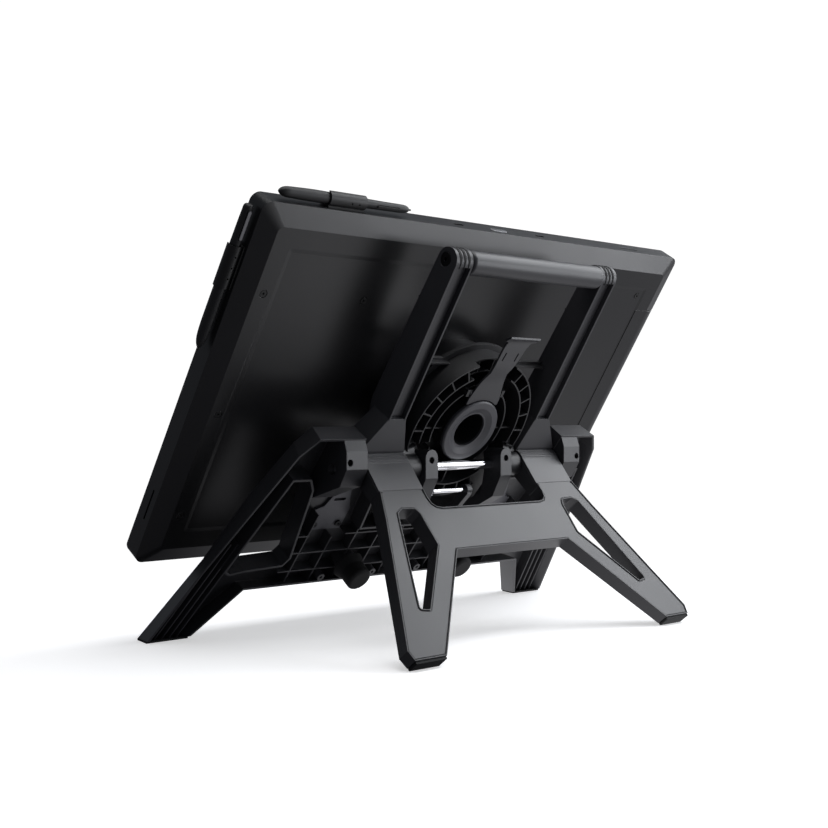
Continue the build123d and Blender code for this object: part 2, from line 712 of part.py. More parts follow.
# =====================================================================================
# front leg frame: a tray open to the back, with the blocks and lugs that hold the hinge shaft
# =====================================================================================
FLOOR_S = FRONT_T * cos(f) / sin(f)     # where the frame's rear edge meets the table
PAD = 2.0                               # rubber pads under the feet
FRONT_OUTER = [(0, 72), (207, 72), (260, 0), (297.5, 0), (262.5, 110), (244, 194.4), (221, 262),
               (207, 281.5), (151.5, 281.5), (151.5, 222), (97, 222), (90, 159), (0, 159)]
FRONT_INNER = [(0, 81), (211, 81), (252, FLOOR_S), (303.4, FLOOR_S), (280, 101), (254, 182), (228, 262),
               (211.5, 283), (151.5, 283), (151.5, 222), (97, 222), (90, 159), (0, 159)]
WINDOW = [(217.7, 229), (245.9, 111), (240, 107), (224, 110), (176, 113), (170.9, 122), (187.9, 216),
          (197, 229)]
BUMPERS = [(79.9, 104), (-79.9, 104)]
BRACKET_SCREWS = [(110, 153), (143, 153), (-110, 153), (-143, 153)]
SHOULDER_SCREWS = [(57.9, 28.3), (175.5, 32.8)]      # X on either side, and the Y of the face they sink into
SHOULDER_Z = 184.3


def outline(points, grow=0.0):
    """Symmetric outline from its +X half, optionally grown or shrunk."""
    other = [(-x, y) for x, y in reversed(points) if x > 0]
    with BuildSketch(mode=Mode.PRIVATE) as whole:
        with BuildLine():
            Polyline(*points, *other, close=True)
        make_face()
        if grow:
            offset(amount=grow, kind=Kind.INTERSECTION)
    return whole.sketch


def panel(points, grow=0.0, corner=0.0):
    """One closed outline, optionally with rounded corners, grown or shrunk."""
    with BuildSketch(mode=Mode.PRIVATE) as closed:
        with BuildLine():
            Polyline(*points, close=True)
        make_face()
        if corner:
            fillet(closed.vertices(), corner)
        if grow:
            offset(amount=grow, kind=Kind.INTERSECTION)
    return closed.sketch


def front_point(s, d):
    """Distance up the frame and depth behind its outer face, as Y and Z."""
    return -163.2 + s * cos(f) + d * sin(f), s * sin(f) - d * cos(f)


with BuildPart() as front_hollow:
    with BuildSketch(FRONT.offset(-SKIN)):
        add(outline(FRONT_OUTER, -SKIN))
    with BuildSketch(FRONT.offset(-FRONT_T)):
        add(outline(FRONT_INNER, -SKIN))
    loft(ruled=True)

with BuildPart() as front_ribs:
    with BuildSketch(FRONT.offset(-16)):
        for x in (18, 52, 86, 120, 154):
            with Locations((x, 120), (-x, 120)):
                Rectangle(1.6, 110)
        for y in (96, 122, 146):
            with Locations((0, y)):
                Rectangle(340, 1.6)
        # ribs along the legs
        for shift in (-12, -3, 6, 15):
            for flip in (1, -1):
                with Locations((flip * (262 + shift), 70)):
                    Rectangle(1.6, 150, rotation=flip * 13)
    extrude(amount=16)
    with BuildSketch(FRONT.offset(-FRONT_T)):
        with Locations((77, 84), (-77, 84), (110, 88), (-110, 88), (35, 88), (-35, 88)):
            Circle(4.6)
            Circle(1.8, mode=Mode.SUBTRACT)
    extrude(amount=FRONT_T)
    with BuildSketch(FRONT.offset(-FRONT_T)):
        for flip in (1, -1):
            add(panel([(flip * x, y) for x, y in WINDOW], 2.6))
    extrude(amount=FRONT_T)
    with BuildSketch(FRONT.offset(-FRONT_T)):
        with Locations(*BUMPERS):
            Circle(13)
    extrude(amount=FRONT_T)
    with BuildSketch(FRONT.offset(-SKIN)):
        with Locations((127, 176), (-127, 176)):
            Rectangle(50, 66)
    extrude(amount=-FRONT_T, mode=Mode.SUBTRACT)
    add(front_hollow.part, mode=Mode.INTERSECT)

with BuildPart() as front_frame:
    with BuildSketch(FRONT):
        add(outline(FRONT_OUTER))
    with BuildSketch(FRONT.offset(-FRONT_T)):
        add(outline(FRONT_INNER))
    loft(ruled=True)
    add(front_hollow.part, mode=Mode.SUBTRACT)
    add(front_ribs.part)
    with BuildSketch(FRONT.offset(1)):
        for flip in (1, -1):
            add(panel([(flip * x, y) for x, y in WINDOW]))
    extrude(amount=-FRONT_T - 2, mode=Mode.SUBTRACT)
    # room for the rear frame's barrels
    for x in (87.0, -151.4):
        with BuildSketch(YZ.offset(x)):
            with Locations((SHAFT.Y, SHAFT.Z)):
                Circle(17.5)
        extrude(amount=64.4, mode=Mode.SUBTRACT)
    # blocks outside the barrels, lugs with struts between them
    for x in (BLOCK_X[0], -BLOCK_X[1]):
        with BuildSketch(YZ.offset(x)):
            with BuildLine():
                Polyline(front_point(281.5, 0.5), front_point(282, 21), (32.8, 195.5), (32.8, 177.5), (22, 160),
                         front_point(205, 20), front_point(205, 1), close=True)
            make_face()
        extrude(amount=BLOCK_X[1] - BLOCK_X[0])
    for x in (LUG_X[0], -LUG_X[1]):
        with BuildSketch(YZ.offset(x)):
            with BuildLine():
                Polyline((2, 195.5), (28.3, 195.5), (28.3, 165), front_point(222, 52), front_point(160, 22),
                         front_point(150, 1), front_point(166, 8), front_point(214, 36), (3, 170), close=True)
            make_face()
        extrude(amount=LUG_X[1] - LUG_X[0])
    # rounded tops of the lugs, seen from the back
    for x in (LUG_X[0], -LUG_X[1]):
        with BuildSketch(XZ.offset(10)):
            with Locations((x + 9, 191.5)):
                Rectangle(20, 10)
            with Locations((x + 9, 186.5)):
                Circle(9, mode=Mode.SUBTRACT)
        extrude(amount=-50, mode=Mode.SUBTRACT)
    # middle rib with the eye of the tie rod
    with BuildSketch(YZ.offset(-12)):
        with BuildLine():
            Polyline(front_point(150, 1), front_point(159, 1), front_point(159, 20), front_point(205, 39),
                     front_point(224, 40), front_point(234, 45), front_point(228, 52), front_point(202, 48),
                     front_point(145, 22), close=True)
        make_face()
        with Locations(TIE_ROD):
            Circle(6.2)
    extrude(amount=7)
    # shaft, tie rod and clamp screw holes
    with BuildSketch(YZ.offset(-200)):
        with Locations((SHAFT.Y, SHAFT.Z)):
            Circle(SHAFT_R + 0.02)
    extrude(amount=400, mode=Mode.SUBTRACT)
    with BuildSketch(YZ.offset(-20)):
        with Locations(TIE_ROD):
            Circle(2.54)
    extrude(amount=84, mode=Mode.SUBTRACT)
    for x, y in SHOULDER_SCREWS:
        with BuildSketch(XZ.offset(-y - 1)):
            with Locations((x, SHOULDER_Z), (-x, SHOULDER_Z)):
                Circle(3.5)
        extrude(amount=13, mode=Mode.SUBTRACT)
    # threads of the bracket screws
    with BuildSketch(FRONT.offset(-SKIN - 1)):
        with Locations(*BRACKET_SCREWS):
            Circle(2.15)
    extrude(amount=SKIN + 0.2, mode=Mode.SUBTRACT)
    # cut level above the rubber pads
    with BuildSketch(Plane.XY.offset(PAD)):
        Rectangle(700, 500)
    extrude(amount=-40, mode=Mode.SUBTRACT)
save(front_frame, "front_frame")

# =====================================================================================
# rear leg frame: turns on the same shaft, windows in both legs, ribbed caps over its barrels
# =====================================================================================
REAR_OUTLINE = [(0, 22.5), (76, 22.5), (83.5, 20.5), (87.5, 16.5), (89, 10), (89, -1.5), (148.9, -1.5),
                (160.7, 34), (195, 123), (215, 174), (211.6, 184.6), (171, 184.6), (86.6, 74), (0, 74)]
REAR_WINDOW = [(131.8, 21.6), (114.5, 22.6), (111.3, 28.9), (109.4, 66), (162.8, 135.8),
               (174.7, 133.8), (139.8, 25.9)]
REAR_CORNER = 2.6            # corner radius of the windows
CAP_R = 15.4
RIM_W = 1.1                  # raised rim round the rear frame and its windows
RIM_H = 0.8


def rear_point(s, n):
    """Distance down the rear frame and height above its outer face, as Y and Z."""
    return 47.2 + s * cos(f) + n * sin(f), 154.9 - s * sin(f) + n * cos(f)


with BuildPart() as rear_frame:
    with BuildSketch(REAR):
        add(outline(REAR_OUTLINE))
    extrude(amount=-REAR_T)
    # hollow from the front, with the outer face, rims and ribs left standing
    with BuildSketch(REAR.offset(-REAR_T)):
        add(outline(REAR_OUTLINE, -3.0))
        for flip in (1, -1):
            add(panel([(flip * x, y) for x, y in REAR_WINDOW], 3.0), mode=Mode.SUBTRACT)
        with GridLocations(42, 1, 3, 1):
            Rectangle(2, 400, mode=Mode.SUBTRACT)
        for flip in (1, -1):
            with Locations((flip * 100, 90), (flip * 140, 60), (flip * 178, 155)):
                Rectangle(120, 2, rotation=flip * 15, mode=Mode.SUBTRACT)
    extrude(amount=REAR_T - 3.0, mode=Mode.SUBTRACT)
    # necks and barrels
    for x in (BARREL_X[0] + 0.4, -BARREL_X[1] + 0.4):
        with BuildSketch(YZ.offset(x)):
            with Locations((SHAFT.Y, SHAFT.Z)):
                Circle(CAP_R - 2.4)
            with BuildLine():
                Polyline(rear_point(-39, -2.4), rear_point(-1.5, -2.4), rear_point(-1.5, 0), rear_point(3, 0),
                         rear_point(3, -REAR_T), rear_point(-40, -REAR_T - 7), close=True)
            make_face()
        extrude(amount=BARREL_X[1] - BARREL_X[0] - 0.8)
    with BuildSketch(YZ.offset(-160)):
        with Locations((SHAFT.Y, SHAFT.Z)):
            Circle(SHAFT_R + RUNNING)
    extrude(amount=320, mode=Mode.SUBTRACT)
    # raised rim with a sunk line inside it, round the outline and round each window
    with BuildSketch(REAR):
        add(outline(REAR_OUTLINE))
        add(outline(REAR_OUTLINE, -RIM_W), mode=Mode.SUBTRACT)
        for flip in (1, -1):
            add(panel([(flip * x, y) for x, y in REAR_WINDOW], RIM_W, REAR_CORNER))
            with Locations((flip * 119, -1)):
                Rectangle(58, 3, mode=Mode.SUBTRACT)
    extrude(amount=RIM_H)
    with BuildSketch(REAR):
        add(outline(REAR_OUTLINE, -RIM_W))
        add(outline(REAR_OUTLINE, -2 * RIM_W), mode=Mode.SUBTRACT)
        for flip in (1, -1):
            add(panel([(flip * x, y) for x, y in REAR_WINDOW], 2 * RIM_W, REAR_CORNER))
            add(panel([(flip * x, y) for x, y in REAR_WINDOW], RIM_W, REAR_CORNER), mode=Mode.SUBTRACT)
            with Locations((flip * 119, -1)):
                Rectangle(54, 6, mode=Mode.SUBTRACT)
    extrude(amount=-RIM_H, mode=Mode.SUBTRACT)
    with BuildSketch(REAR.offset(2)):
        for flip in (1, -1):
            add(panel([(flip * x, y) for x, y in REAR_WINDOW], 0, REAR_CORNER))
    extrude(amount=-REAR_T - 3, mode=Mode.SUBTRACT)
    # legs get thinner towards the feet
    with BuildSketch(YZ.offset(-250)):
        with BuildLine():
            Polyline(rear_point(30, -REAR_T - 1), rear_point(30, -REAR_T), rear_point(190, -13),
                     rear_point(190, -REAR_T - 1), close=True)
        make_face()
    extrude(amount=500, mode=Mode.SUBTRACT)
save(rear_frame, "rear_frame")

with BuildPart() as hinge_caps:
    for x in (BARREL_X[0] + 0.4, -BARREL_X[1] + 0.4):
        with BuildSketch(YZ.offset(x)):
            with Locations((SHAFT.Y, SHAFT.Z)):
                Circle(CAP_R)
            with BuildLine():
                Polyline(rear_point(-38, 0.9), rear_point(0, 0), rear_point(0, -2), rear_point(-38, -8),
                         close=True)
            make_face()
            # ribs along the top
            for angle in range(20, 112, 9):
                y, z = SHAFT.Y + CAP_R * cos(radians(angle)), SHAFT.Z + CAP_R * sin(radians(angle))
                with Locations((y, z)):
                    Rectangle(1.6, 1.0, rotation=angle)
            with Locations((SHAFT.Y, SHAFT.Z)):
                Circle(CAP_R - 2.3, mode=Mode.SUBTRACT)
            with BuildLine():
                Polyline(rear_point(-39, -2.3), rear_point(-1.7, -2.3), rear_point(-1.7, 1), rear_point(1, 1),
                         rear_point(1, -30), rear_point(-20, -60), rear_point(-60, -60),
                         (SHAFT.Y - 30, SHAFT.Z + 17.3), (SHAFT.Y, SHAFT.Z), close=True)
            make_face(mode=Mode.SUBTRACT)
        extrude(amount=BARREL_X[1] - BARREL_X[0] - 0.8)
save(hinge_caps, "hinge_caps")

with BuildPart() as rear_feet:
    for flip in (1, -1):
        with BuildSketch(REAR.offset(-0.4)):
            with Locations((flip * 191.3, 186.1)):
                RectangleRounded(39.4, 2.9, 1)
        extrude(amount=-12.6)
    with BuildSketch(Plane.XY):
        Rectangle(700, 500)
    extrude(amount=-20, mode=Mode.SUBTRACT)
save(rear_feet, "rear_feet")

# =====================================================================================
# shaft, tie rod, brackets, bumpers, feet and small fasteners of the stand
# =====================================================================================
with BuildPart() as hinge_shaft:
    with BuildSketch(YZ.offset(-SHAFT_HALF)):
        with Locations((SHAFT.Y, SHAFT.Z)):
            Circle(SHAFT_R)
    extrude(amount=2 * SHAFT_HALF)
    chamfer(hinge_shaft.edges().filter_by(GeomType.CIRCLE), 0.8)
save(hinge_shaft, "hinge_shaft")

with BuildPart() as friction_washers:
    for x in (69.0 - 1.7, -69.0):
        with BuildSketch(YZ.offset(x)):
            with Locations((SHAFT.Y, SHAFT.Z)):
                Circle(11)
                Circle(SHAFT_R + 0.05, mode=Mode.SUBTRACT)
        extrude(amount=1.7)
save(friction_washers, "friction_washers")

with BuildPart() as tie_rod:
    with BuildSketch(YZ.offset(-14)):
        with Locations(TIE_ROD):
            Circle(2.5)
    extrude(amount=76)
    chamfer(tie_rod.edges().filter_by(GeomType.CIRCLE), 0.5)
save(tie_rod, "tie_rod")

with BuildPart() as rod_clips:
    for x in (-14.0, 44.4):
        with BuildSketch(YZ.offset(x)):
            with Locations(TIE_ROD):
                Circle(4.6)
                Circle(2.52, mode=Mode.SUBTRACT)
                with Locations((2.6, -2.6)):
                    Rectangle(8, 3.0, rotation=-45, mode=Mode.SUBTRACT)
        extrude(amount=1.6)
save(rod_clips, "rod_clips")

BRACKET = [(103, 145), (150.5, 145), (150.5, 174), (141, 178), (131, 204), (127.5, 208), (120, 208),
           (116.5, 204), (106, 178), (103, 174)]
for name, flip in (("right", 1), ("left", -1)):
    with BuildPart() as bracket:
        with BuildSketch(FRONT.offset(-SKIN - 0.2)):
            add(panel([(flip * x, y) for x, y in BRACKET]))
            with Locations((flip * 123.7, 200), (flip * 110, 153), (flip * 143, 153)):
                Circle(2.2, mode=Mode.SUBTRACT)
            with Locations((flip * 124, 187)):
                SlotOverall(16, 4, mode=Mode.SUBTRACT)
        extrude(amount=-2.4)
    save(bracket, f"{name}_bracket")

with BuildPart() as bracket_screws:
    with BuildSketch(FRONT.offset(-SKIN - 2.7)):
        with Locations(*BRACKET_SCREWS):
            Circle(3.8)
            RegularPolygon(1.5, 6, mode=Mode.SUBTRACT)
    extrude(amount=-2.0)
    with BuildSketch(FRONT.offset(-SKIN - 2.7)):
        with Locations(*BRACKET_SCREWS):
            Circle(2.1)
    extrude(amount=4.4)
save(bracket_screws, "bracket_screws")

with BuildPart() as bumpers:
    with BuildSketch(FRONT.offset(-FRONT_T - 0.2)):
        with Locations(*BUMPERS):
            Circle(14.5)
    extrude(amount=-26)
    fillet(bumpers.faces().sort_by(Axis((0, 0, 0), FRONT.z_dir))[0:2].edges(), 4)
    with BuildSketch(FRONT.offset(-FRONT_T - 0.2)):
        with Locations(*BUMPERS):
            Circle(18)
    extrude(amount=-9, taper=20)
save(bumpers, "bumpers")

with BuildPart() as front_feet:
    with BuildSketch(Plane.XY):
        for flip in (1, -1):
            with BuildLine():
                Polyline((flip * 260, -161.4), (flip * 297, -161.4), (flip * 302.6, -135.6),
                         (flip * 252.6, -135.6), close=True)
            make_face()
    extrude(amount=PAD)
save(front_feet, "front_feet")

with BuildPart() as shoulder_screws:
    for x, y in SHOULDER_SCREWS:
        with BuildSketch(XZ.offset(-y + 5.0)):
            with Locations((x, SHOULDER_Z), (-x, SHOULDER_Z)):
                Circle(3.3)
        extrude(amount=6)
        with BuildSketch(XZ.offset(-y + 4.0)):
            with Locations((x, SHOULDER_Z), (-x, SHOULDER_Z)):
                RegularPolygon(1.7, 6)
        extrude(amount=3, mode=Mode.SUBTRACT)
save(shoulder_screws, "shoulder_screws")
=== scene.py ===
import math

import bmesh
import bpy
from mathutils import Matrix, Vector


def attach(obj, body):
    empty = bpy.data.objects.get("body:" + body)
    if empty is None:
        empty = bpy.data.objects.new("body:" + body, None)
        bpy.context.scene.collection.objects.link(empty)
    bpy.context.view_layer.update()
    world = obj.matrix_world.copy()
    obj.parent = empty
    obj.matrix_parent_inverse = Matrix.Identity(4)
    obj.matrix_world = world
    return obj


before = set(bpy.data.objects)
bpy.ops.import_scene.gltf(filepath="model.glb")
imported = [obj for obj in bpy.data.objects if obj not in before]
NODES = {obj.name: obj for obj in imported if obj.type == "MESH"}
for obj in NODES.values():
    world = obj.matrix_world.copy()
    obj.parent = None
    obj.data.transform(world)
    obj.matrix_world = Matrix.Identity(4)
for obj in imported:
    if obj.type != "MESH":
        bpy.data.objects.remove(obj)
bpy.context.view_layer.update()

# The display's own directions and the centre of its glass, in the shared frame (metres).
TILT = math.radians(57.5)  # between the display and the table
UP_DISPLAY = Vector((0, math.cos(TILT), math.sin(TILT)))
BEHIND = Vector((0, math.sin(TILT), -math.cos(TILT)))
GLASS_CENTRE = Vector((0, -0.0497, 0.2644))

# The photo's camera, fitted to traced corners: level, with a slightly shifted lens.
CAMERA_PLACE = (1.0346, 1.0169, 0.2298)
CAMERA_DEGREES = (90, 0, 136.28)
LENS_MM, SENSOR_MM = 57.46, 36
LENS_SHIFT = (0.0043, 0.0037)
NEAR_CLIP = 0.01

# name, place, aimed at, sides, watts, colour
AREA_LIGHTS = (
    ("overhead", (-1.5, 0.5, 1.35), (0, 0.05, 0.15), (1.3, 1.5), 26, (0.95, 0.97, 1)),
    ("side_box", (-1.3, 1.25, 0.35), (0, 0, 0.3), (1.1, 0.9), 13, (0.94, 0.96, 1)),
    ("top", (0, 0.4, 2.4), (0, 0, 0.2), (2.0, 1.4), 26, (1, 1, 1)),
)

WHITE = (1, 1, 1, 1)
WHITE_STRENGTH = 1.05  # background that the camera sees, just past full white
ROOM_COLOUR, ROOM_STRENGTH = (0.84, 0.90, 1, 1), 0.15  # the dim room that lights the object

FLOOR_HALF_SIDE, FLOOR_CELLS = 9, 8
PAPER_COLOUR, PAPER_ROUGHNESS, PAPER_SPECULAR = (0.93, 0.93, 0.94, 1), 0.6, 0.1
PAPER_GLOW = 0.52
FADE_START, FADE_END = 0.35, 1.1  # distance from the origin where paper turns into background
MIRROR_FROM_X, MIRROR_TO_X = 0.22, -0.78  # where the ramp that the object mirrors starts and ends
MIRROR_ENDS = ((0.09, 0.09, 0.10, 1), (0.38, 0.38, 0.40, 1))
MIRROR_STOPS = ((0.45, 1.0), (0.75, 0.42))  # position on the ramp, brightness
MIRROR_BLUE = 1.03  # blue in the stops, against red and green

CLOUDS = (9, 5, 0.6)  # features per metre, detail, roughness
GRAIN = (2, 0.5)  # detail, roughness; each paint has its own scale
NOISE_LOW, NOISE_HIGH = 0.25, 0.75  # the part of a noise's range that is used
COAT_ROUGHNESS = 0.25
BEVEL_SAMPLES = 4
EDGE_STARTS, EDGE_FULL = 0.98, 0.75  # cosine between the rounded normal and the true one
WEAR_AND_HIGHLIGHT_GAIN, WEAR_AND_HIGHLIGHT_LIFT = 2.2, 0.02  # how much lighter an edge is, for wear and as a painted highlight
LEAST_WEAR_AND_HIGHLIGHT = 0.5  # of a paint's edge wear and painted highlight, where the clouds are thin
ROUGH_LOW, ROUGH_HIGH = 0.88, 1.12  # of a paint's roughness, across the clouds
GRAIN_HEIGHT = 0.0003

ARM_SLOT_MIDDLES = (0.1071, 0.1128, 0.1185)  # distance from the centre line
ARM_SLOT_HALF_WIDTH = 0.0016
ARM_SLOT_STEPS = 28
ARM_SLOT_FROM, ARM_SLOT_SWEEP = -10, 145  # degrees round the arm's top
ARM_TOP_UP, ARM_TOP_BEHIND = 0.1882, 0.0773  # centre of the arms' round tops, from the glass centre
ARM_TOP_RADIUS = 0.01355
TAPER_STEPS, TIP_STEPS = 10, 0.4  # steps to full width; a tip as wide as 0.4 of a step
# thickness of the black sheets that are painted shade in the arm slots
SHADE_SHEET_THICKNESS = 0.0004


# ---------------------------------------------------------------- camera and lights
def add_camera():
    data = bpy.data.cameras.new("camera")
    data.lens, data.sensor_width = LENS_MM, SENSOR_MM
    data.shift_x, data.shift_y = LENS_SHIFT
    data.clip_start = NEAR_CLIP
    camera = bpy.data.objects.new("camera", data)
    camera.location = CAMERA_PLACE
    camera.rotation_euler = [math.radians(turn) for turn in CAMERA_DEGREES]
    bpy.context.collection.objects.link(camera)
    bpy.context.scene.camera = camera


def add_area_light(name, place, target, sides, watts, colour):
    data = bpy.data.lights.new(name, "AREA")
    data.shape = "RECTANGLE"
    data.size, data.size_y = sides
    data.energy = watts
    data.color = colour
    light = bpy.data.objects.new(name, data)
    light.location = place
    aim = Vector(target) - Vector(place)
    light.rotation_euler = aim.to_track_quat("-Z", "Y").to_euler()
    bpy.context.collection.objects.link(light)


def add_node(tree, kind, values=None, **settings):
    """Add a shader node, with its settings first and then the values of its inputs."""
    node = tree.nodes.new("ShaderNode" + kind)
    for name, value in settings.items():
        setattr(node, name, value)
    for name, value in (values or {}).items():
        node.inputs[name].default_value = value
    return node


def add_world():
    """White to the camera, a dim bluish room to everything else."""
    world = bpy.data.worlds.new("studio")
    world.use_nodes = True
    bpy.context.scene.world = world
    tree = world.node_tree
    tree.nodes.clear()
    seen = add_node(tree, "Background", {"Color": WHITE, "Strength": WHITE_STRENGTH})
    light = add_node(tree, "Background", {"Color": ROOM_COLOUR, "Strength": ROOM_STRENGTH})
    path = add_node(tree, "LightPath")
    mix = add_node(tree, "MixShader")
    out = add_node(tree, "OutputWorld")
    tree.links.new(path.outputs["Is Camera Ray"], mix.inputs["Fac"])
    tree.links.new(light.outputs["Background"], mix.inputs[1])
    tree.links.new(seen.outputs["Background"], mix.inputs[2])
    tree.links.new(mix.outputs["Shader"], out.inputs["Surface"])


def seen_paper(tree, place):
    """Lit paper near the object, with a glow of its own, that fades into the white background."""
    paper = tree.nodes["Principled BSDF"]
    paper.inputs["Base Color"].default_value = PAPER_COLOUR
    paper.inputs["Roughness"].default_value = PAPER_ROUGHNESS
    paper.inputs["Specular IOR Level"].default_value = PAPER_SPECULAR
    paper.inputs["Emission Color"].default_value = WHITE
    paper.inputs["Emission Strength"].default_value = PAPER_GLOW
    white = add_node(tree, "Emission", {"Strength": WHITE_STRENGTH})
    length = add_node(tree, "VectorMath", operation="LENGTH")
    fade = add_node(tree, "MapRange", {"From Min": FADE_START, "From Max": FADE_END},
                    interpolation_type="SMOOTHSTEP")
    mix = add_node(tree, "MixShader")
    tree.links.new(place.outputs["Object"], length.inputs[0])
    tree.links.new(length.outputs["Value"], fade.inputs["Value"])
    tree.links.new(fade.outputs["Result"], mix.inputs["Fac"])
    tree.links.new(paper.outputs["BSDF"], mix.inputs[1])
    tree.links.new(white.outputs["Emission"], mix.inputs[2])
    return mix


def mirrored_room(tree, place):
    """What the object mirrors: bright paper on the -X side, a dark room on the +X side."""
    mirrored = add_node(tree, "Emission")
    split = add_node(tree, "SeparateXYZ")
    across = add_node(tree, "MapRange", {"From Min": MIRROR_FROM_X, "From Max": MIRROR_TO_X})
    glow = add_node(tree, "ValToRGB")
    glow.color_ramp.elements[0].color, glow.color_ramp.elements[1].color = MIRROR_ENDS
    for position, value in MIRROR_STOPS:
        stop = glow.color_ramp.elements.new(position)
        stop.color = (value, value, value * MIRROR_BLUE, 1)
    tree.links.new(place.outputs["Object"], split.inputs["Vector"])
    tree.links.new(split.outputs["X"], across.inputs["Value"])
    tree.links.new(across.outputs["Result"], glow.inputs["Fac"])
    tree.links.new(glow.outputs["Color"], mirrored.inputs["Color"])
    return mirrored


def add_floor():
    mesh = bpy.data.meshes.new("floor")
    maker = bmesh.new()
    bmesh.ops.create_grid(maker, x_segments=FLOOR_CELLS, y_segments=FLOOR_CELLS,
                          size=FLOOR_HALF_SIDE)
    maker.to_mesh(mesh)
    maker.free()
    floor = bpy.data.objects.new("floor", mesh)
    bpy.context.collection.objects.link(floor)
    paint = bpy.data.materials.new("floor_paint")
    paint.use_nodes = True
    tree = paint.node_tree
    place = add_node(tree, "TexCoord")
    path = add_node(tree, "LightPath")
    choose = add_node(tree, "MixShader")
    out = tree.nodes["Material Output"]
    tree.links.new(path.outputs["Is Camera Ray"], choose.inputs["Fac"])
    tree.links.new(mirrored_room(tree, place).outputs["Emission"], choose.inputs[1])
    tree.links.new(seen_paper(tree, place).outputs["Shader"], choose.inputs[2])
    tree.links.new(choose.outputs["Shader"], out.inputs["Surface"])
    mesh.materials.append(paint)


# ---------------------------------------------------------------- materials
def noise(tree, scale, detail, roughness, stretch=None):
    """Noise over the piece's own coordinates. They are metres, so scale is features per metre."""
    place = add_node(tree, "TexCoord")
    texture = add_node(tree, "TexNoise",
                       {"Scale": scale, "Detail": detail, "Roughness": roughness})
    where = place.outputs["Object"]
    if stretch:
        mapping = add_node(tree, "Mapping", {"Scale": stretch})
        tree.links.new(where, mapping.inputs["Vector"])
        where = mapping.outputs["Vector"]
    tree.links.new(where, texture.inputs["Vector"])
    return texture.outputs["Fac"]


def between(tree, source, low, high):
    """Map the used part of a noise onto a range."""
    node = add_node(tree, "MapRange", {"From Min": NOISE_LOW, "From Max": NOISE_HIGH,
                                       "To Min": low, "To Max": high})
    tree.links.new(source, node.inputs["Value"])
    return node.outputs["Result"]


def worn_and_highlit_edges(tree, rounding, clouds, wear_and_highlight):
    """How worn a place is, and how much painted highlight it gets: more where the rounded normal
    leaves the true one.
    """
    geometry = add_node(tree, "NewGeometry")
    facing = add_node(tree, "VectorMath", operation="DOT_PRODUCT")
    rim = add_node(tree, "MapRange", {"From Min": EDGE_STARTS, "From Max": EDGE_FULL})
    wear_and_highlight_mask = add_node(tree, "Math", operation="MULTIPLY")
    tree.links.new(rounding.outputs["Normal"], facing.inputs[0])
    tree.links.new(geometry.outputs["Normal"], facing.inputs[1])
    tree.links.new(facing.outputs["Value"], rim.inputs["Value"])
    tree.links.new(rim.outputs["Result"], wear_and_highlight_mask.inputs[0])
    tree.links.new(between(tree, clouds, wear_and_highlight * LEAST_WEAR_AND_HIGHLIGHT, wear_and_highlight), wear_and_highlight_mask.inputs[1])
    return wear_and_highlight_mask.outputs["Value"]


def surface(name, colour, rough, metallic=0.0, grain=2600, grain_depth=0.03, variation=0.25,
            edge=0.0007, wear_and_highlight=0.35, specular=0.5, coat=0.0, stretch=None):
    """A moulded or machined surface: fine grain, cloudy tone and gloss, rounded edges that are
    lighter for wear and as a painted highlight.
    """
    paint = bpy.data.materials.new(name)
    paint.use_nodes = True
    tree = paint.node_tree
    shader = tree.nodes["Principled BSDF"]
    shader.inputs["Metallic"].default_value = metallic
    shader.inputs["Specular IOR Level"].default_value = specular
    shader.inputs["Coat Weight"].default_value = coat
    shader.inputs["Coat Roughness"].default_value = COAT_ROUGHNESS
    clouds = noise(tree, *CLOUDS)
    fine = noise(tree, grain, *GRAIN, stretch)
    rounding = add_node(tree, "Bevel", {"Radius": edge}, samples=BEVEL_SAMPLES)

    # The third colour goes on the rounded edges: lighter for wear, and a painted highlight.
    darker, lighter, worn_and_highlit_colour = (
        (*[c * (1 - variation) for c in colour], 1),
        (*[c * (1 + variation) for c in colour], 1),
        (*[min(1, c * WEAR_AND_HIGHLIGHT_GAIN + WEAR_AND_HIGHLIGHT_LIFT) for c in colour], 1),
    )
    tone = add_node(tree, "Mix", {"A": darker, "B": lighter}, data_type="RGBA")
    light = add_node(tree, "Mix", {"B": worn_and_highlit_colour}, data_type="RGBA")
    tree.links.new(clouds, tone.inputs["Factor"])
    tree.links.new(worn_and_highlit_edges(tree, rounding, clouds, wear_and_highlight), light.inputs["Factor"])
    tree.links.new(tone.outputs["Result"], light.inputs["A"])
    tree.links.new(light.outputs["Result"], shader.inputs["Base Color"])

    roughness = between(tree, clouds, rough * ROUGH_LOW, rough * ROUGH_HIGH)
    tree.links.new(roughness, shader.inputs["Roughness"])

    bump = add_node(tree, "Bump", {"Strength": grain_depth, "Distance": GRAIN_HEIGHT})
    tree.links.new(fine, bump.inputs["Height"])
    tree.links.new(rounding.outputs["Normal"], bump.inputs["Normal"])
    tree.links.new(bump.outputs["Normal"], shader.inputs["Normal"])
    return paint


def grey(value, blue=1.06):
    return (value, value, value * blue)


